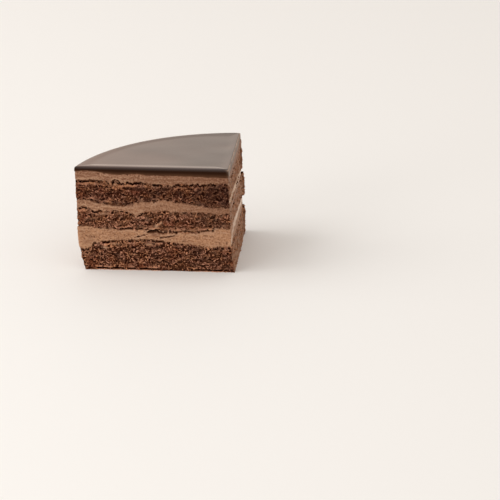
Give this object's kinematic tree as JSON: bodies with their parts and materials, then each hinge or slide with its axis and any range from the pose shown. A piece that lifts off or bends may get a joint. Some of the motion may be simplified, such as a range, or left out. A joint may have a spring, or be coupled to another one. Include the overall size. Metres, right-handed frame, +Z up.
{
  "type": "layered chocolate torte slice",
  "caption": "Upright wedge of layered chocolate torte: dark crumb layers with cream between them under a dark mirror glaze, with flat cut faces and a curved rim.",
  "frame": {"origin": "middle of the bounding box's bottom, on the plane that the slice stands on", "axes": "+Z up through the layers, +X along the long cut towards the tip, +Y from the long cut into the slice"},
  "size_m": [0.1028, 0.0804, 0.0688],
  "materials": {
    "sponge": "open dark chocolate crumb with pores and ragged lips, matte",
    "cream": "light chocolate cream dragged by the knife, satin",
    "glaze": "dark chocolate mirror glaze, smooth and glossy with a rounded edge"
  },
  "bodies": {
    "root": {"sponge_bottom": "sponge", "cream_lower": "cream", "sponge_middle": "sponge", "cream_middle": "cream", "sponge_top": "sponge", "cream_top": "cream", "glaze": "glaze"}
  },
  "joints": []
}
